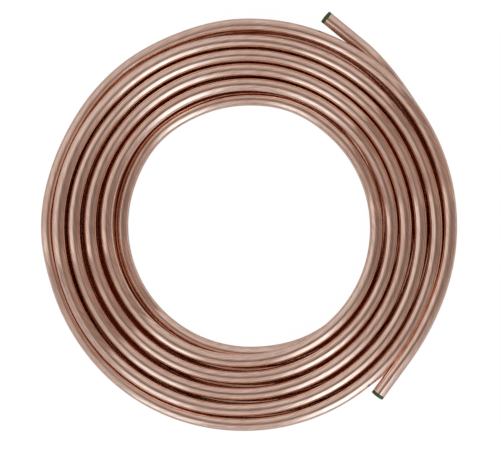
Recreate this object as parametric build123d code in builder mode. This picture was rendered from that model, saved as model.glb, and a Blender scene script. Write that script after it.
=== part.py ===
"""A coil of soft copper tube, wound in two layers, with a plastic plug in each open end.

Millimetres. +Z is up and the coil's axis is Z. The coil lies flat, with its lower turns on Z = 0.
The tube is one piece: the lower layer is wound inwards from one free end, the tube climbs at the
inside, and the upper layer is wound outwards to the other free end, seen clockwise from above.
"""
from build123d import *
from math import atan2, cos, degrees, hypot, radians, sin, tan
import os

# The tube: 3/4 inch outside, drawn copper with a thin wall
TUBE_OD = 19.05
TUBE_WALL = 1.07
TUBE_R = TUBE_OD / 2
BORE_R = TUBE_R - TUBE_WALL

# The winding: five turns in each layer. The upper turns cross the lower ones, so they ride on their crowns.
TURNS = 5
TURN_PITCH = 23.1
INNER_TURN_R = 181.9
LAYER_STEP = TUBE_OD
LOWER_Z = TUBE_R
UPPER_Z = LOWER_Z + LAYER_STEP
COIL_HEIGHT = UPPER_Z + TUBE_R
LOWER_TURNS = [INNER_TURN_R + n * TURN_PITCH for n in range(TURNS)]
UPPER_TURNS = [r + TURN_PITCH / 2 for r in LOWER_TURNS]

# A wound turn is turned with eight flats round the tube, which keeps the winding's faces few
FLATS = 8
HALF_FLAT = TUBE_R * tan(radians(180 / FLATS))
GROOVE_DEPTH = TURN_PITCH / 2 - HALF_FLAT

# The free ends: where round the coil the mouth is, how far out from the outermost turn, how far it
# turns away from that turn's direction, and how much of the end is straight
LOWER_MOUTH_ANGLE = 69.1
LOWER_REACH = 39.8
LOWER_STRAIGHT = 60.0
UPPER_MOUTH_ANGLE = -52.3
UPPER_REACH = 19.35
UPPER_STRAIGHT = 80.0
SPLAY = 18.5
# An end starts this far outside the outermost turn's centre line, and this far in from the coil's face
END_OFFSET = 0.2
END_INSET = 0.1

# The plugs: a head flush with the tube, and a tapered stem pressed into the bore
HEAD_R = TUBE_R - 0.025
HEAD_THICKNESS = 5.4
HEAD_EDGE = 0.8
STEM_LENGTH = 16.0
STEM_CLEARANCE = 0.04
STEM_TAPER = 0.5


def polar(radius, angle, z):
    """The point at this radius and angle (in radians) round the coil's axis."""
    return Vector(radius * cos(angle), radius * sin(angle), z)


class FreeEnd:
    """A free end of the tube: an arc wider than the winding's leaves it and ends in a straight run."""

    def __init__(self, turn_radius, mouth_angle, reach, straight, level, turning):
        self.straight = straight
        self.turning = turning
        self.mouth = polar(turn_radius + reach, radians(mouth_angle), level)
        self.heading = polar(1, radians(mouth_angle + turning * (90 - SPLAY)), 0)
        # Where the arc meets the straight run, and the arc's outward direction there
        self.bend_end = self.mouth - self.heading * straight
        outward = self.heading.rotate(Axis.Z, -90 * turning)
        # The one arc that ends there and is tangent to a circle just outside the outermost turn's
        start_r = turn_radius + END_OFFSET
        end_r = hypot(self.bend_end.X, self.bend_end.Y)
        across = self.bend_end.dot(outward)
        self.bend_r = (end_r**2 - start_r**2) / (2 * (across - start_r))
        self.centre = self.bend_end - outward * self.bend_r
        start_angle = atan2(-self.centre.Y, -self.centre.X)
        end_angle = atan2(outward.Y, outward.X)
        self.bend_angle = degrees(end_angle - start_angle) * turning
        self.start = polar(start_r, start_angle, level)
        self.start_heading = self.heading.rotate(Axis.Z, -self.bend_angle * turning)


lower_level = LOWER_Z + END_INSET
upper_level = UPPER_Z - END_INSET
free_ends = {
    "lower": FreeEnd(
        LOWER_TURNS[-1], LOWER_MOUTH_ANGLE, LOWER_REACH, LOWER_STRAIGHT, lower_level, turning=1
    ),
    "upper": FreeEnd(
        UPPER_TURNS[-1], UPPER_MOUTH_ANGLE, UPPER_REACH, UPPER_STRAIGHT, upper_level, turning=-1
    ),
}


def crowns(turns, face_z, groove_z):
    """One end face's outline from the inside out: a flat on each turn and a groove between turns."""
    points = []
    for r in turns:
        points += [(r - HALF_FLAT, face_z), (r + HALF_FLAT, face_z), (r + TURN_PITCH / 2, groove_z)]
    return points[:-1]


# The tube: the winding turned as one body, with both free ends
with BuildPart() as tube_coil:
    with BuildSketch(Plane.XZ) as winding_section:
        with BuildLine() as core:
            Polyline(
                *crowns(UPPER_TURNS, COIL_HEIGHT, COIL_HEIGHT - GROOVE_DEPTH),
                *reversed(crowns(LOWER_TURNS, 0, GROOVE_DEPTH)),
                close=True,
            )
        make_face()
        # The turns at the outside and round the eye show their sides too
        for turns, level in ((LOWER_TURNS, LOWER_Z), (UPPER_TURNS, UPPER_Z)):
            with Locations((turns[0], level), (turns[-1], level)):
                RegularPolygon(TUBE_R, FLATS, major_radius=False, rotation=180 / FLATS)
    revolve(axis=Axis.Z)

    for end in free_ends.values():
        # The bend, from the outermost turn to the straight run
        with BuildSketch(Plane(end.start, z_dir=end.start_heading)):
            Circle(TUBE_R)
        bend_axis = Axis(end.centre, (0, 0, end.turning))
        revolve(axis=bend_axis, revolution_arc=end.bend_angle)
        # The straight run, open at its mouth
        run_plane = Plane(end.bend_end, z_dir=end.heading)
        with BuildSketch(run_plane):
            Circle(TUBE_R)
        extrude(amount=end.straight)
        with BuildSketch(run_plane):
            Circle(BORE_R)
        extrude(amount=end.straight, mode=Mode.SUBTRACT)

tube_coil.part.label = "tube_coil"

os.makedirs("parts", exist_ok=True)
export_step(tube_coil.part, "parts/tube_coil.step")

# A plug in each mouth: turned about the tube's axis, the same at both ends
for side, end in free_ends.items():
    with BuildPart() as end_plug:
        # In this plane X runs out of the mouth and Y is the radius
        with BuildSketch(Plane(end.mouth, x_dir=end.heading, z_dir=(0, 0, 1))) as plug_section:
            with BuildLine() as outline:
                Polyline(
                    (HEAD_THICKNESS, 0),
                    (HEAD_THICKNESS, HEAD_R),
                    (0, HEAD_R),
                    (0, BORE_R - STEM_CLEARANCE),
                    (-STEM_LENGTH, BORE_R - STEM_TAPER),
                    (-STEM_LENGTH, 0),
                    close=True,
                )
            make_face()
        revolve(axis=Axis(end.mouth, end.heading))
        head_rims = end_plug.edges().filter_by(GeomType.CIRCLE).group_by(SortBy.RADIUS)[-1]
        chamfer(head_rims, length=HEAD_EDGE)
    end_plug.part.label = f"end_plug_{side}"
    export_step(end_plug.part, f"parts/end_plug_{side}.step")
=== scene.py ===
"""A two-layer coil of drawn copper tube with a green plastic plug in each end, dressed for a render.

Blender's metres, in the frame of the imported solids: +Z is up, the coil's axis is Z, and the camera looks
straight down. The values below are in millimetres and degrees unless they say otherwise. Azimuths are
clockwise from +Y as the camera sees them.
"""
import math
from typing import NamedTuple

import bpy
import numpy as np
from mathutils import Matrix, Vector


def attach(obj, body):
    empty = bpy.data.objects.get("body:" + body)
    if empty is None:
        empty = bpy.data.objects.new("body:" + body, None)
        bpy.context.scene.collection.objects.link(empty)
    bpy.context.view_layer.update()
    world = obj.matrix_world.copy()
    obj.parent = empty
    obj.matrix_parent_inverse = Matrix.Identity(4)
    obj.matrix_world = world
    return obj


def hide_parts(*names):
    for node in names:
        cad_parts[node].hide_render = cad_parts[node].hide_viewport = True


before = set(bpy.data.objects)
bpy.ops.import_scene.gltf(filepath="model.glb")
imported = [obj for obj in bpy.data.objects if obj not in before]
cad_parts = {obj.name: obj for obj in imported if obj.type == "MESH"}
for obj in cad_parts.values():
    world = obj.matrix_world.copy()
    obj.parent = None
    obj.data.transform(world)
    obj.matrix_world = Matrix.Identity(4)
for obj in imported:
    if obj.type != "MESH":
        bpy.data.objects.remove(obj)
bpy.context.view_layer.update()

bl_info = {
    "name": "Copper Tube Coil",
    "version": (1, 0, 0),
    "blender": (4, 5, 0),
    "location": "View3D > Sidebar > Copper Coil",
    "description": "Winds a two-layer coil of copper tube, plugs its ends and sets a studio round it",
    "category": "Object",
}

MM = 0.001

# The winding, from the coil's axis to the tube's centre line, at the right, bottom, left and top of each
# turn. The first turns lie on the floor and are wound inwards, and the last ones lie on them, wound outwards.
TURN_RADII = (
    (284.0, 274.0, 268.6, 275.2),
    (262.0, 254.5, 247.0, 252.0),
    (240.0, 232.0, 224.5, 228.5),
    (217.0, 208.0, 201.5, 205.5),
    (193.5, 184.1, 182.7, 180.5),
    (182.2, 194.2, 203.6, 200.9),
    (203.8, 217.5, 226.8, 222.1),
    (223.8, 240.9, 249.9, 242.4),
    (245.4, 263.8, 271.8, 263.1),
    (267.4, 284.5, 287.1, 285.8),
    (287.7,),
)
# Azimuth of the first radius, from which the azimuth counts on turn by turn, and the step to the next radius
FIRST_AZIMUTH = 90.0
QUARTER_TURN = 90.0
# Where the winding starts and ends, next to the two free ends, and how far apart its points are
LOWER_JOIN = 56.0
UPPER_JOIN = 3695.0
AZIMUTH_STEP = 0.5

# Bends that winding by hand left: azimuth, half width, how far out, and the first and last turn that has each
BENDS = (
    (215.0, 40.0, 1.4, 5, 9),
    (303.0, 40.0, -1.4, 6, 9),
    (146.0, 32.0, 2.6, 4, 4),
    (313.0, 25.0, 1.8, 4, 4),
    (20.0, 24.0, 1.6, 4, 4),
    (270.0, 60.0, -1.8, 0, 0),
    (296.0, 32.0, -3.2, 0, 0),
    (335.0, 52.0, -9.8, 0, 0),
    (300.0, 40.0, -0.6, 1, 1),
    (331.0, 58.0, -6.6, 1, 1),
    (331.0, 58.0, -2.6, 2, 2),
    (270.0, 18.0, 1.9, 9, 9),
    (297.0, 16.0, -0.9, 9, 9),
    (338.0, 19.0, -2.0, 9, 9),
    (116.0, 45.0, 3.4, 0, 0),
    (118.0, 30.0, -1.2, 9, 9),
)

# The climb to the upper layer, at the inside of the coil
CLIMB_START = 1755.0
CLIMB_END = 1890.0
CLIMB_HEIGHT = 17.0
# The lower layer that the tube rests on ends this far before the climb, and past the climb's end the tube
# settles on it over this stretch
CLIMB_CLEARANCE = 30.0
SETTLING = 60.0
# The gap that is left where one turn lies on another
LAYER_GAP = 0.1
# For how many points of the winding the tube keeps a level, because it can't bend sharply
STIFF_REACH = 14
# How many points are compared with the turns below them at a time
POINTS_AT_A_TIME = 400


class FreeEnd(NamedTuple):
    """Where one end of the tube has its mouth. Its angle and heading are from +X, anticlockwise."""

    radius: float
    angle: float
    level: float
    heading: float
    straight: float
    hang: float


# Each mouth's place round the axis, the tube's level, its heading, its straight run, and how far the mouth
# hangs below that level
FREE_ENDS = {
    "lower": FreeEnd(radius=316.8, angle=69.1, level=9.625, heading=140.6, straight=60.0, hang=0.0),
    "upper": FreeEnd(radius=303.9, angle=-52.3, level=28.475, heading=-126.0, straight=60.0, hang=4.5),
}
# How far back from its mouth a free end starts to hang down
HANG_REACH = 110.0
# The number of points in the bend from the winding to a straight run, and how far apart the run's points are
BEND_POINTS = 120
RUN_SPACING = 1.0

# Edges sharper than this stay sharp
SHARP_EDGE = 40.0
# How far in from each mouth the tube has its bore
BORE_DEPTH = 70.0
# The length of tube that its texture coordinates count as one
TEXTURE_LENGTH = 100.0

# The plugs are turned with this many sides. The head has a slight dome and a rounded edge.
PLUG_SIDES = 64
HEAD_THICKNESS = 5.0
HEAD_DOME = 0.7
HEAD_EDGE = 1.0
HEAD_CLEARANCE = 0.025
DOME_ROWS = 5
EDGE_ROWS = 6
# The head's rim where it meets the tube: how far out of the mouth, and how far in from the head's side
HEAD_RIM = ((0.25, 0.0), (0.08, 0.08), (0.0, 0.25))
# The stem, from the mouth to its tip: how far out of the mouth, and how far in from the bore's wall
STEM = ((0.0, 0.1), (-0.4, 0.05), (-14.5, 0.5), (-16.0, 1.6))

# Marks on the copper, by their width across the tube and their length along it. Real draw lines and roll
# marks are finer than these, which are as coarse as they need to be to show.
DRAW_LINE_WIDTH = 1.6667
DRAW_LINE_LENGTH = 277.78
ROLL_MARK_WIDTH = 2.2222
ROLL_MARK_LENGTH = 27.778
ROLL_MARK_SLANT = 13.0
# How strong the roll marks are next to the draw lines, and how deep the two are together
ROLL_MARK_SHARE = 0.8
MARK_DEPTH = 0.16
# The heights of the marks between which they turn from brightened to dulled, and how much
STREAK_HEIGHTS = (0.75, 1.05)
STREAK_STRENGTH = 0.6
# Patches that handling has dulled
PATCH_WIDTH = 11.111
PATCH_LENGTH = 74.07
# The cloudy grain of the plugs' polyethylene
PLUG_GRAIN = 1.1111
PLUG_GRAIN_DEPTH = 0.1

# The floor: how far below the coil it lies, its colour, and how bright its own white is
FLOOR_DROP = 0.2
FLOOR_COLOUR = "#ededed"
FLOOR_WHITE = 1.05
# The share of that white in what the camera sees of the floor, and in what gloss and glass show of it
WHITE_IN_VIEW = 0.92
WHITE_IN_GLOSS = 0.1
# The ring of floor that the coil covers, its soft edge, and the dark red that the floor there glows with:
# painted shade and bounced light that stand in for the light between the turns after more bounces than are
# followed
COVERED_FROM = 186.0
COVERED_TO = 283.0
COVERED_FADE = 3.0
PAINTED_GLOW_COLOUR = "#3a1107"


class LightPanel(NamedTuple):
    """One soft panel of the studio. Its top and bottom are tilts from straight overhead."""

    azimuth: float
    half_width: float
    side_fade: float
    top: float
    bottom: float
    end_fade: float
    brightness: float
    colour: str


# The studio as the copper reflects it: the room's own light, and the panels whose light is added to it
ROOM_LIGHT = 0.25
ROOM_COLOUR = "#ffede6"
PANELS = {
    "white wall": LightPanel(-27.5, 71.5, 5.0, 40.0, 100.0, 40.0, 0.44, "#eef9ff"),
    "left wall": LightPanel(282.0, 20.0, 8.0, 50.0, 100.0, 30.0, 0.09, "#eef9ff"),
    "right window": LightPanel(151.0, 2.0, 22.0, 40.0, 100.0, 34.0, 1.25, "#c8edff"),
    "left window": LightPanel(208.0, 6.0, 12.0, 54.0, 80.0, 34.0, 0.77, "#c8edff"),
    "front wall": LightPanel(182.0, 44.0, 38.0, 34.0, 100.0, 28.0, 0.43, "#eef9ff"),
    "side wall": LightPanel(254.0, 10.0, 6.0, 24.0, 100.0, 22.0, 0.11, "#ffffff"),
    "door": LightPanel(52.0, 8.0, 6.0, 10.0, 80.0, 20.0, 0.06, "#ffd8c4"),
    "far door": LightPanel(72.0, 7.0, 7.0, 24.0, 80.0, 22.0, 0.14, "#ffe0d0"),
    "dark side": LightPanel(96.0, 12.0, 10.0, 58.0, 90.0, 24.0, 0.06, "#ffffff"),
}

# The camera: the width of its film, the level in the coil that the picture's width is measured at, the
# picture's width in pixels, and how far it sees, in metres
SENSOR_WIDTH = 36.0
MIDDLE_LEVEL = 17.0
PICTURE_PIXELS = 500
SIGHT_LIMIT = 50.0


def hex_to_linear(code):
    """Linear RGBA of an sRGB hex colour such as "#b87333"."""
    channels = [int(code[i : i + 2], 16) / 255 for i in (1, 3, 5)]
    return [c / 12.92 if c <= 0.04045 else ((c + 0.055) / 1.055) ** 2.4 for c in channels] + [1.0]


def tinted(colour, brightness):
    """A colour at this brightness, as the three values that light is added up in."""
    return [brightness * channel for channel in hex_to_linear(colour)[:3]]


def add_node(tree, kind, links=None, values=None, **settings):
    """One shader node with its own settings, the values of its input sockets and the links into them."""
    node = tree.nodes.new(kind)
    for name, setting in settings.items():
        setattr(node, name, setting)
    for socket, value in (values or {}).items():
        node.inputs[socket].default_value = value
    for socket, source in (links or {}).items():
        tree.links.new(source, node.inputs[socket])
    return node


class CopperCoilSettings(bpy.types.PropertyGroup):
    """Sizes and colours of the coil that a user may change."""

    tube_diameter: bpy.props.FloatProperty(
        name="Tube diameter",
        description="Outside diameter of the copper tube",
        default=19.05 * MM,
        unit="LENGTH",
    )
    tube_wall: bpy.props.FloatProperty(
        name="Tube wall",
        description="Wall of the copper tube, which shows at its mouths",
        default=1.07 * MM,
        unit="LENGTH",
    )
    sides: bpy.props.IntProperty(
        name="Sides",
        description="Sides round the tube's mesh",
        default=30,
        min=12,
    )
    step: bpy.props.FloatProperty(
        name="Step",
        description="Length of the mesh's faces along the tube",
        default=5.0 * MM,
        unit="LENGTH",
    )
    copper: bpy.props.FloatVectorProperty(
        name="Copper",
        description="Colour of the bright drawn copper",
        subtype="COLOR",
        size=4,
        default=hex_to_linear("#fcdac8"),
    )
    tarnish: bpy.props.FloatVectorProperty(
        name="Tarnish",
        description="Colour of the copper where handling has dulled it",
        subtype="COLOR",
        size=4,
        default=hex_to_linear("#e2b8a4"),
    )
    plug_colour: bpy.props.FloatVectorProperty(
        name="Plug",
        description="Colour of the moulded polyethylene plugs",
        subtype="COLOR",
        size=4,
        default=hex_to_linear("#415728"),
    )


class CopperStageSettings(bpy.types.PropertyGroup):
    """The floor and the camera."""

    floor_size: bpy.props.FloatProperty(
        name="Floor size",
        description="Side of the white floor",
        default=12.0,
        unit="LENGTH",
    )
    camera_height: bpy.props.FloatProperty(
        name="Camera height",
        description="Height of the camera above the middle of the coil",
        default=4.0,
        unit="LENGTH",
    )
    picture_width: bpy.props.FloatProperty(
        name="Picture width",
        description="Width that the picture spans at the middle of the coil",
        default=716.0 * MM,
        unit="LENGTH",
    )


def natural_spline(first, step, values, at):
    """A natural cubic spline through values that stand a step apart from first on, read at these places."""
    values = np.asarray(values)
    count = len(values)
    matrix = np.eye(count)
    target = np.zeros(count)
    for i in range(1, count - 1):
        matrix[i, i - 1 : i + 2] = (1, 4, 1)
        target[i] = 6 * (values[i - 1] - 2 * values[i] + values[i + 1])
    bend = np.linalg.solve(matrix, target)
    place = (at - first) / step
    i = np.clip(place.astype(int), 0, count - 2)
    t = place - i
    line = (1 - t) * values[i] + t * values[i + 1]
    return line + (((1 - t) ** 3 - (1 - t)) * bend[i] + (t**3 - t) * bend[i + 1]) / 6


def bent_by_hand(azimuth):
    """How far out the bends put each point of the winding."""
    out = np.zeros(len(azimuth))
    for middle, half, distance, first, last in BENDS:
        for turn in range(first, last + 1):
            place = (middle - FIRST_AZIMUTH) % 360 + FIRST_AZIMUTH + 360 * turn
            near = np.clip((azimuth - place) / half, -1, 1)
            out += distance * (1 + np.cos(np.pi * near)) / 2
    return out


def around(azimuth, radius, level):
    """Points at these azimuths and radii, as rows of x, y, z."""
    a = np.radians(azimuth)
    return np.stack([radius * np.sin(a), radius * np.cos(a), level + 0 * a], axis=1)


def spread(values, reach, how):
    """Each value becomes the greatest or the mean of those within reach places of it."""
    padded = np.pad(values, reach, mode="edge")
    windows = np.lib.stride_tricks.sliding_window_view(padded, 2 * reach + 1)
    return how(windows, axis=1)


def resting_levels(turns, below, diameter):
    """How high each point of the upper layer has to lie to rest on the turns below it."""
    needed = np.full(len(turns), diameter / 2)
    for start in range(0, len(turns), POINTS_AT_A_TIME):
        part = slice(start, start + POINTS_AT_A_TIME)
        apart = turns[part, None, :2] - below[None, :, :2]
        across = (apart**2).sum(axis=2)
        rise = np.sqrt(np.maximum(diameter**2 - across, 0))
        touching = np.where(rise > 0, below[None, :, 2] + rise, diameter / 2)
        needed[part] = touching.max(axis=1)
    return needed


def mouth_frame(end):
    """A mouth's middle, the direction out of it and the two directions across it."""
    angle = math.radians(end.angle)
    heading = math.radians(end.heading)
    fall = math.atan2(2 * end.hang, HANG_REACH)
    mouth = np.array([end.radius * math.cos(angle), end.radius * math.sin(angle), end.level - end.hang])
    level = np.array([math.cos(heading), math.sin(heading), 0.0])
    upright = np.array([0.0, 0.0, 1.0])
    forward = level * math.cos(fall) - upright * math.sin(fall)
    up = upright * math.cos(fall) + level * math.sin(fall)
    return mouth, forward, up, np.cross(up, forward)


def free_end(end, joint, joint_heading):
    """Points from the winding's joint along a smooth bend and a straight run to the mouth, with its hang."""
    mouth, forward, _, _ = mouth_frame(end._replace(hang=0.0))
    bend_end = mouth - forward * end.straight
    reach = np.linalg.norm(bend_end - joint) / 3
    t = np.linspace(0, 1, BEND_POINTS)[1:, None]
    handles = (joint, joint + joint_heading * reach, bend_end - forward * reach, bend_end)
    weights = ((1 - t) ** 3, 3 * t * (1 - t) ** 2, 3 * t**2 * (1 - t), t**3)
    bend = sum(weight * handle for weight, handle in zip(weights, handles))
    run = np.arange(RUN_SPACING, end.straight + RUN_SPACING / 2, RUN_SPACING)[:, None]
    points = np.vstack([bend, bend_end + forward * run])
    steps = np.linalg.norm(np.diff(points, axis=0), axis=1)
    to_mouth = np.append(np.cumsum(steps[::-1])[::-1], 0.0)
    points[:, 2] -= end.hang * np.clip(1 - to_mouth / HANG_REACH, 0, 1) ** 2
    return points


def tube_path(diameter):
    """The tube's centre line, from the lower mouth to the upper one."""
    radii = [radius for turn in TURN_RADII for radius in turn]
    azimuth = np.arange(LOWER_JOIN, UPPER_JOIN + AZIMUTH_STEP / 2, AZIMUTH_STEP)
    radius = natural_spline(FIRST_AZIMUTH, QUARTER_TURN, radii, azimuth) + bent_by_hand(azimuth)
    winding = around(azimuth, radius, diameter / 2)

    # The lower free end leaves the winding in its own direction, and the upper layer lies on it too
    lower_heading = winding[0] - winding[1]
    lower = free_end(FREE_ENDS["lower"], winding[0], lower_heading / np.linalg.norm(lower_heading))

    # The tube climbs at the inside of the coil, and from there it rests on the turns below it
    upper = azimuth > CLIMB_START
    rise = np.clip((azimuth[upper] - CLIMB_START) / (CLIMB_END - CLIMB_START), 0, 1)
    climb = diameter / 2 + rise * rise * (3 - 2 * rise) * CLIMB_HEIGHT
    below = np.vstack([winding[azimuth < CLIMB_START - CLIMB_CLEARANCE], lower])
    resting = resting_levels(winding[upper], below, diameter + LAYER_GAP)
    resting = spread(resting, STIFF_REACH, np.max)
    settled = np.clip((azimuth[upper] - CLIMB_END) / SETTLING, 0, 1)
    levels = resting * settled + np.maximum(resting, climb) * (1 - settled)
    winding[upper, 2] = spread(levels, STIFF_REACH, np.mean)

    upper_heading = winding[-1] - winding[-2]
    upper_run = free_end(FREE_ENDS["upper"], winding[-1], upper_heading / np.linalg.norm(upper_heading))
    return np.vstack([lower[::-1], winding, upper_run])


def even_steps(points, step):
    """The same line with its points an even step apart, and how far along it each one lies."""
    along = np.concatenate([[0], np.cumsum(np.linalg.norm(np.diff(points, axis=0), axis=1))])
    count = int(round(along[-1] / step)) + 1
    places = np.linspace(0, along[-1], count)
    return np.stack([np.interp(places, along, points[:, i]) for i in range(3)], axis=1), places


def directions_across(points):
    """For each point of a line, the two directions across it: upwards and sideways."""
    along = np.gradient(points, axis=0)
    along /= np.linalg.norm(along, axis=1)[:, None]
    up = np.array([0.0, 0.0, 1.0]) - along * along[:, 2:3]
    up /= np.linalg.norm(up, axis=1)[:, None]
    return up, np.cross(along, up)


def mesh_object(name, verts, faces):
    """An object from mesh data in metres, smooth-shaded up to its sharp edges."""
    mesh = bpy.data.meshes.new(name)
    mesh.from_pydata([tuple(v) for v in verts], [], faces)
    mesh.validate()
    mesh.shade_smooth()
    mesh.set_sharp_from_angle(angle=math.radians(SHARP_EDGE))
    piece = bpy.data.objects.new(name, mesh)
    bpy.context.scene.collection.objects.link(piece)
    return piece


def marks_on_tube(tree, place, width, length, **values):
    """Uneven marks, from 0 to 1, this wide across the tube and this long along it."""
    stretched = add_node(
        tree,
        "ShaderNodeVectorMath",
        {0: place},
        {1: (1.0, 1.0, width / length)},
        operation="MULTIPLY",
    )
    values["Scale"] = 1 / width
    noise = add_node(tree, "ShaderNodeTexNoise", {"Vector": stretched.outputs["Vector"]}, values)
    return noise.outputs["Fac"]


def drawn_copper(settings):
    """Copper, drawn to a tube and bright annealed: pink and mirror-like along the tube, with fine streaks."""
    material = bpy.data.materials.new("drawn_copper_tube")
    material.use_nodes = True
    tree = material.node_tree
    shader = tree.nodes["Principled BSDF"]
    shader.inputs["Metallic"].default_value = 1.0
    shader.inputs["Roughness"].default_value = 0.1
    shader.inputs["Anisotropic"].default_value = 0.5
    tangent = add_node(tree, "ShaderNodeTangent", direction_type="UV_MAP", uv_map="tube")
    tree.links.new(tangent.outputs["Tangent"], shader.inputs["Tangent"])

    # Each point's place on the straight tube, in mm, as it was before it was coiled
    place = add_node(tree, "ShaderNodeAttribute", attribute_name="straight_tube").outputs["Vector"]
    # Draw lines run along the tube, and the straightening rolls leave fainter marks across them at a slant
    lines = marks_on_tube(tree, place, DRAW_LINE_WIDTH, DRAW_LINE_LENGTH, Detail=3.0, Roughness=0.6)
    slanted = add_node(
        tree,
        "ShaderNodeVectorRotate",
        {0: place},
        {"Angle": math.radians(ROLL_MARK_SLANT)},
        rotation_type="Y_AXIS",
    )
    rolls = marks_on_tube(tree, slanted.outputs["Vector"], ROLL_MARK_WIDTH, ROLL_MARK_LENGTH, Detail=2.0)
    marks = add_node(
        tree,
        "ShaderNodeMath",
        {0: rolls, 2: lines},
        {1: ROLL_MARK_SHARE},
        operation="MULTIPLY_ADD",
    )
    bump = add_node(
        tree,
        "ShaderNodeBump",
        {"Height": marks.outputs["Value"]},
        {"Strength": 0.6, "Distance": MARK_DEPTH * MM},
    )
    tree.links.new(bump.outputs["Normal"], shader.inputs["Normal"])

    # Handling leaves the copper a little duller in patches, and the marks hold some of that dullness, so that
    # they show as fine streaks
    patches = marks_on_tube(tree, place, PATCH_WIDTH, PATCH_LENGTH, Detail=4.0)
    streaks = add_node(
        tree,
        "ShaderNodeMapRange",
        {"Value": marks.outputs["Value"]},
        {
            "From Min": STREAK_HEIGHTS[0],
            "From Max": STREAK_HEIGHTS[1],
            "To Min": -STREAK_STRENGTH,
            "To Max": STREAK_STRENGTH,
        },
    )
    worn = add_node(
        tree,
        "ShaderNodeMath",
        {0: patches, 1: streaks.outputs["Result"]},
        operation="ADD",
        use_clamp=True,
    )
    dulled = add_node(
        tree,
        "ShaderNodeMix",
        {"Factor": worn.outputs["Value"]},
        {"A": settings.copper, "B": settings.tarnish},
        data_type="RGBA",
    )
    tree.links.new(dulled.outputs["Result"], shader.inputs["Base Color"])
    return material


def moulded_plastic(settings):
    """Polyethylene, injection moulded: waxy and soft in its shine, with a faint cloudy grain."""
    material = bpy.data.materials.new("moulded_green_polyethylene")
    material.use_nodes = True
    tree = material.node_tree
    shader = tree.nodes["Principled BSDF"]
    shader.inputs["Base Color"].default_value = settings.plug_colour
    shader.inputs["Roughness"].default_value = 0.45
    shader.inputs["IOR"].default_value = 1.51
    place = add_node(tree, "ShaderNodeTexCoord")
    grain = add_node(
        tree,
        "ShaderNodeTexNoise",
        {"Vector": place.outputs["Object"]},
        {"Scale": 1 / (PLUG_GRAIN * MM), "Detail": 3.0},
    )
    bump = add_node(
        tree,
        "ShaderNodeBump",
        {"Height": grain.outputs["Fac"]},
        {"Strength": 0.2, "Distance": PLUG_GRAIN_DEPTH * MM},
    )
    tree.links.new(bump.outputs["Normal"], shader.inputs["Normal"])
    return material


class COPPERCOIL_OT_wind_tube(bpy.types.Operator):
    """Wind the copper tube into its two layers, with a free end above and below"""

    bl_idname = "copper_coil.wind_tube"
    bl_label = "Wind Tube"

    def execute(self, context):
        settings = context.scene.copper_coil
        sides = settings.sides
        path, places = even_steps(tube_path(settings.tube_diameter / MM), settings.step / MM)
        ring, radius = self.rows(len(path), settings)

        # The same points on the coiled tube and on the straight one, as columns across, up and along
        angles = np.linspace(0, 2 * math.pi, sides, endpoint=False)
        up, across = directions_across(path)
        offset = (
            across[ring, None, :] * np.cos(angles)[None, :, None]
            + up[ring, None, :] * np.sin(angles)[None, :, None]
        ) * radius[:, None, None]
        verts = (path[ring, None, :] + offset).reshape(-1, 3) * MM
        straight = np.stack(
            [
                radius[:, None] * np.cos(angles)[None, :],
                radius[:, None] * np.sin(angles)[None, :],
                places[ring][:, None] + 0 * angles[None, :],
            ],
            axis=2,
        ).reshape(-1, 3)

        faces = []
        corners = []
        for row in range(len(ring) - 1):
            for side in range(sides):
                here = row * sides + side
                over = row * sides + (side + 1) % sides
                faces.append((here, over, over + sides, here + sides))
                corners.append(((side, row), (side + 1, row), (side + 1, row + 1), (side, row + 1)))
        piece = mesh_object("tube_winding", verts, faces)
        layer = piece.data.uv_layers.new(name="tube")
        uv = [(s / sides, places[ring[r]] / TEXTURE_LENGTH) for face in corners for s, r in face]
        layer.data.foreach_set("uv", np.array(uv).ravel())
        attribute = piece.data.attributes.new("straight_tube", "FLOAT_VECTOR", "POINT")
        attribute.data.foreach_set("vector", straight.ravel())
        piece.data.materials.append(drawn_copper(settings))
        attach(piece, "root")
        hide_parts("tube_coil")
        return {"FINISHED"}

    def rows(self, count, settings):
        """The path's point and the radius of each row round the tube: in one bore, outside, in the other."""
        outside = settings.tube_diameter / MM / 2
        bore = outside - settings.tube_wall / MM
        bore_rows = range(round(BORE_DEPTH * MM / settings.step) + 1)
        rows = [(i, bore) for i in reversed(bore_rows)]
        rows += [(i, outside) for i in range(count)]
        rows += [(count - 1 - i, bore) for i in bore_rows]
        ring, radius = zip(*rows)
        return np.array(ring), np.array(radius)


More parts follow.
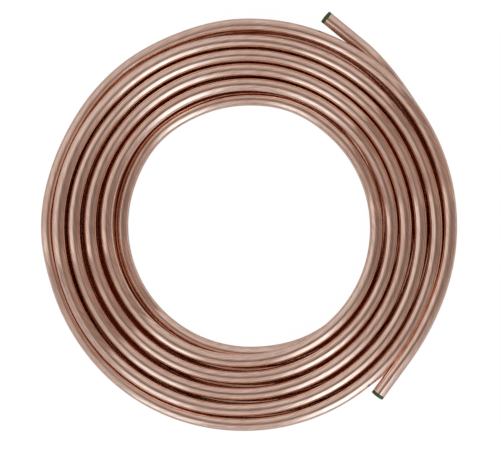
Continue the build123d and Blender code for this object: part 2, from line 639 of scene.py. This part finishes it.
class COPPERCOIL_OT_fit_plugs(bpy.types.Operator):
    """Press a moulded plug into each mouth of the tube"""

    bl_idname = "copper_coil.fit_plugs"
    bl_label = "Fit Plugs"

    def execute(self, context):
        settings = context.scene.copper_coil
        material = moulded_plastic(settings)
        for side, end in FREE_ENDS.items():
            piece = self.plug(f"plug_{side}", end, settings)
            piece.data.materials.append(material)
            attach(piece, "root")
            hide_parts(f"end_plug_{side}")
        return {"FINISHED"}

    def profile(self, settings):
        """The plug from its head's middle to its stem's tip, as distances out of the mouth and radii."""
        head = settings.tube_diameter / MM / 2 - HEAD_CLEARANCE
        bore = (settings.tube_diameter / 2 - settings.tube_wall) / MM
        flat = head - HEAD_EDGE
        points = []
        for i in range(DOME_ROWS + 1):
            share = i / DOME_ROWS
            points.append((HEAD_THICKNESS + HEAD_DOME * (1 - share**2), flat * share))
        for i in range(1, EDGE_ROWS + 1):
            a = math.radians(90 * i / EDGE_ROWS)
            points.append((HEAD_THICKNESS - HEAD_EDGE * (1 - math.cos(a)), flat + HEAD_EDGE * math.sin(a)))
        points += [(out, head - inset) for out, inset in HEAD_RIM]
        points += [(out, bore - inset) for out, inset in STEM]
        points.append((STEM[-1][0], 0.0))
        return points

    def plug(self, name, end, settings):
        """One plug, turned about the line out of the mouth."""
        mouth, forward, up, sideways = (Vector(row) for row in mouth_frame(end))
        profile = self.profile(settings)
        verts = []
        for out, radius in profile[1:-1]:
            for k in range(PLUG_SIDES):
                a = 2 * math.pi * k / PLUG_SIDES
                spoke = sideways * math.cos(a) + up * math.sin(a)
                verts.append((mouth + forward * out + spoke * radius) * MM)
        rows = len(profile) - 2
        faces = []
        for row in range(rows - 1):
            for k in range(PLUG_SIDES):
                here = row * PLUG_SIDES + k
                over = row * PLUG_SIDES + (k + 1) % PLUG_SIDES
                faces.append((here, here + PLUG_SIDES, over + PLUG_SIDES, over))
        for row, out in ((0, profile[0][0]), (rows - 1, profile[-1][0])):
            middle = len(verts)
            verts.append((mouth + forward * out) * MM)
            for k in range(PLUG_SIDES):
                here = row * PLUG_SIDES + k
                over = row * PLUG_SIDES + (k + 1) % PLUG_SIDES
                faces.append((middle, here, over) if row == 0 else (middle, over, here))
        return mesh_object(name, verts, faces)


def between(tree, value, low, high, fade):
    """1 where a value is between low and high, fading to 0 outside them."""
    slopes = []
    for outside, inside in ((low - fade, low), (high + fade, high)):
        slope = add_node(
            tree,
            "ShaderNodeMapRange",
            {"Value": value},
            {"From Min": outside, "From Max": inside},
            interpolation_type="SMOOTHSTEP",
        )
        slopes.append(slope.outputs["Result"])
    both = add_node(tree, "ShaderNodeMath", {0: slopes[0], 1: slopes[1]}, operation="MULTIPLY")
    return both.outputs["Value"]


class COPPERCOIL_OT_set_stage(bpy.types.Operator):
    """Set the white floor, the studio's light and the camera overhead"""

    bl_idname = "copper_coil.set_stage"
    bl_label = "Set Stage"

    def execute(self, context):
        settings = context.scene.copper_stage
        self.floor(settings)
        self.world(context.scene)
        self.camera(context.scene, settings)
        context.scene.view_settings.view_transform = "Standard"
        return {"FINISHED"}

    def floor(self, settings):
        """A white floor that keeps the coil's soft shadow, and glows a painted dark red under the coil for
        the shade and bounced light between the turns.
        """
        half = settings.floor_size / 2
        verts = [(-half, -half, 0), (half, -half, 0), (half, half, 0), (-half, half, 0)]
        piece = mesh_object("floor", verts, [(0, 1, 2, 3)])
        piece.location.z = -FLOOR_DROP * MM
        material = bpy.data.materials.new("white_floor")
        material.use_nodes = True
        tree = material.node_tree
        tree.nodes.remove(tree.nodes["Principled BSDF"])
        matt = add_node(tree, "ShaderNodeBsdfDiffuse", values={"Color": hex_to_linear(FLOOR_COLOUR)})
        white = add_node(
            tree,
            "ShaderNodeEmission",
            values={"Color": hex_to_linear("#ffffff"), "Strength": FLOOR_WHITE},
        )
        clear = add_node(
            tree,
            "ShaderNodeMixShader",
            {0: self.white_share(tree), 1: matt.outputs["BSDF"], 2: white.outputs["Emission"]},
        )
        # The floor under the coil glows dark red: painted shade and bounced light between the turns
        painted_glow_shader = add_node(
            tree,
            "ShaderNodeEmission",
            values={"Color": hex_to_linear(PAINTED_GLOW_COLOUR), "Strength": 1.0},
        )
        mix = add_node(
            tree,
            "ShaderNodeMixShader",
            {0: self.painted_glow_ring(tree), 1: clear.outputs["Shader"], 2: painted_glow_shader.outputs["Emission"]},
        )
        tree.links.new(mix.outputs["Shader"], tree.nodes["Material Output"].inputs["Surface"])
        piece.data.materials.append(material)

    def painted_glow_ring(self, tree):
        """1 where the coil covers the floor and the floor glows its painted dark red, and 0 in the open."""
        place = add_node(tree, "ShaderNodeTexCoord")
        from_axis = add_node(tree, "ShaderNodeVectorMath", {0: place.outputs["Object"]}, operation="LENGTH")
        return between(
            tree,
            from_axis.outputs["Value"],
            COVERED_FROM * MM,
            COVERED_TO * MM,
            COVERED_FADE * MM,
        )

    def white_share(self, tree):
        """How much of the open floor is its own white: most of what the camera sees, and little in gloss."""
        path = add_node(tree, "ShaderNodeLightPath")
        indirect = add_node(
            tree,
            "ShaderNodeMath",
            {0: path.outputs["Is Glossy Ray"], 1: path.outputs["Is Transmission Ray"]},
            operation="MAXIMUM",
        )
        in_gloss = add_node(
            tree,
            "ShaderNodeMath",
            {0: indirect.outputs["Value"]},
            {1: WHITE_IN_GLOSS},
            operation="MULTIPLY",
        )
        share = add_node(
            tree,
            "ShaderNodeMath",
            {0: path.outputs["Is Camera Ray"], 2: in_gloss.outputs["Value"]},
            {1: WHITE_IN_VIEW},
            operation="MULTIPLY_ADD",
        )
        return share.outputs["Value"]

    def world(self, scene):
        """Soft panels round the coil, brighter at the top left, with two strips at the bottom."""
        world = bpy.data.worlds.new("studio")
        scene.world = world
        world.use_nodes = True
        tree = world.node_tree
        tree.nodes.clear()
        place = add_node(tree, "ShaderNodeTexCoord")
        parts = add_node(tree, "ShaderNodeSeparateXYZ", {0: place.outputs["Generated"]})
        tilt = add_node(tree, "ShaderNodeMath", {0: parts.outputs["Z"]}, operation="ARCCOSINE")
        room = dict(zip("XYZ", tinted(ROOM_COLOUR, ROOM_LIGHT)))
        light = add_node(tree, "ShaderNodeCombineXYZ", values=room)
        for panel in PANELS.values():
            light = self.add_panel(tree, panel, place.outputs["Generated"], tilt.outputs["Value"], light)
        glow = add_node(tree, "ShaderNodeBackground", {"Color": light.outputs["Vector"]}, {"Strength": 1.0})
        white = add_node(
            tree,
            "ShaderNodeBackground",
            values={"Color": hex_to_linear("#ffffff"), "Strength": 1.0},
        )
        path = add_node(tree, "ShaderNodeLightPath")
        mix = add_node(
            tree,
            "ShaderNodeMixShader",
            {0: path.outputs["Is Camera Ray"], 1: glow.outputs["Background"], 2: white.outputs["Background"]},
        )
        add_node(tree, "ShaderNodeOutputWorld", {"Surface": mix.outputs["Shader"]})

    def add_panel(self, tree, panel, direction, tilt, light):
        """The light so far with one panel's light added to it."""
        # The azimuth is measured from the panel's own middle, so that it never wraps inside it
        turned = add_node(
            tree,
            "ShaderNodeVectorRotate",
            {0: direction},
            {"Angle": math.radians(panel.azimuth)},
            rotation_type="Z_AXIS",
        )
        parts = add_node(tree, "ShaderNodeSeparateXYZ", {0: turned.outputs["Vector"]})
        azimuth = add_node(
            tree,
            "ShaderNodeMath",
            {0: parts.outputs["X"], 1: parts.outputs["Y"]},
            operation="ARCTAN2",
        )
        half_width = math.radians(panel.half_width)
        side_fade = math.radians(panel.side_fade)
        wide = between(tree, azimuth.outputs["Value"], -half_width, half_width, side_fade)
        end_fade = math.radians(panel.end_fade)
        tall = between(tree, tilt, math.radians(panel.top), math.radians(panel.bottom), end_fade)
        seen = add_node(tree, "ShaderNodeMath", {0: wide, 1: tall}, operation="MULTIPLY")
        return add_node(
            tree,
            "ShaderNodeVectorMath",
            {0: seen.outputs["Value"], 2: light.outputs["Vector"]},
            {1: tinted(panel.colour, panel.brightness)},
            operation="MULTIPLY_ADD",
        )

    def camera(self, scene, settings):
        """A long lens straight above the coil."""
        data = bpy.data.cameras.new("overhead")
        data.sensor_width = SENSOR_WIDTH
        data.lens = SENSOR_WIDTH * settings.camera_height / settings.picture_width
        data.clip_end = SIGHT_LIMIT
        camera = bpy.data.objects.new("overhead", data)
        scene.collection.objects.link(camera)
        # The coil's axis stands one pixel left of the picture's middle
        pixel = settings.picture_width / PICTURE_PIXELS
        camera.location = (pixel, 0.0, settings.camera_height + MIDDLE_LEVEL * MM)
        scene.camera = camera


class COPPERCOIL_PT_panel(bpy.types.Panel):
    """The coil's settings and steps"""

    bl_idname = "COPPERCOIL_PT_panel"
    bl_label = "Copper Tube Coil"
    bl_space_type = "VIEW_3D"
    bl_region_type = "UI"
    bl_category = "Copper Coil"

    def draw(self, context):
        layout = self.layout
        for group in (context.scene.copper_coil, context.scene.copper_stage):
            for name in group.__annotations__:
                layout.prop(group, name)
        for step in STEPS:
            layout.operator(step.bl_idname)


STEPS = (COPPERCOIL_OT_wind_tube, COPPERCOIL_OT_fit_plugs, COPPERCOIL_OT_set_stage)
CLASSES = (CopperCoilSettings, CopperStageSettings, *STEPS, COPPERCOIL_PT_panel)


def register():
    for item in CLASSES:
        bpy.utils.register_class(item)
    bpy.types.Scene.copper_coil = bpy.props.PointerProperty(type=CopperCoilSettings)
    bpy.types.Scene.copper_stage = bpy.props.PointerProperty(type=CopperStageSettings)


def unregister():
    del bpy.types.Scene.copper_coil
    del bpy.types.Scene.copper_stage
    for item in reversed(CLASSES):
        bpy.utils.unregister_class(item)


def main():
    """Register the add-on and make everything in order."""
    register()
    bpy.ops.copper_coil.wind_tube()
    bpy.ops.copper_coil.fit_plugs()
    bpy.ops.copper_coil.set_stage()


if __name__ == "__main__":
    main()
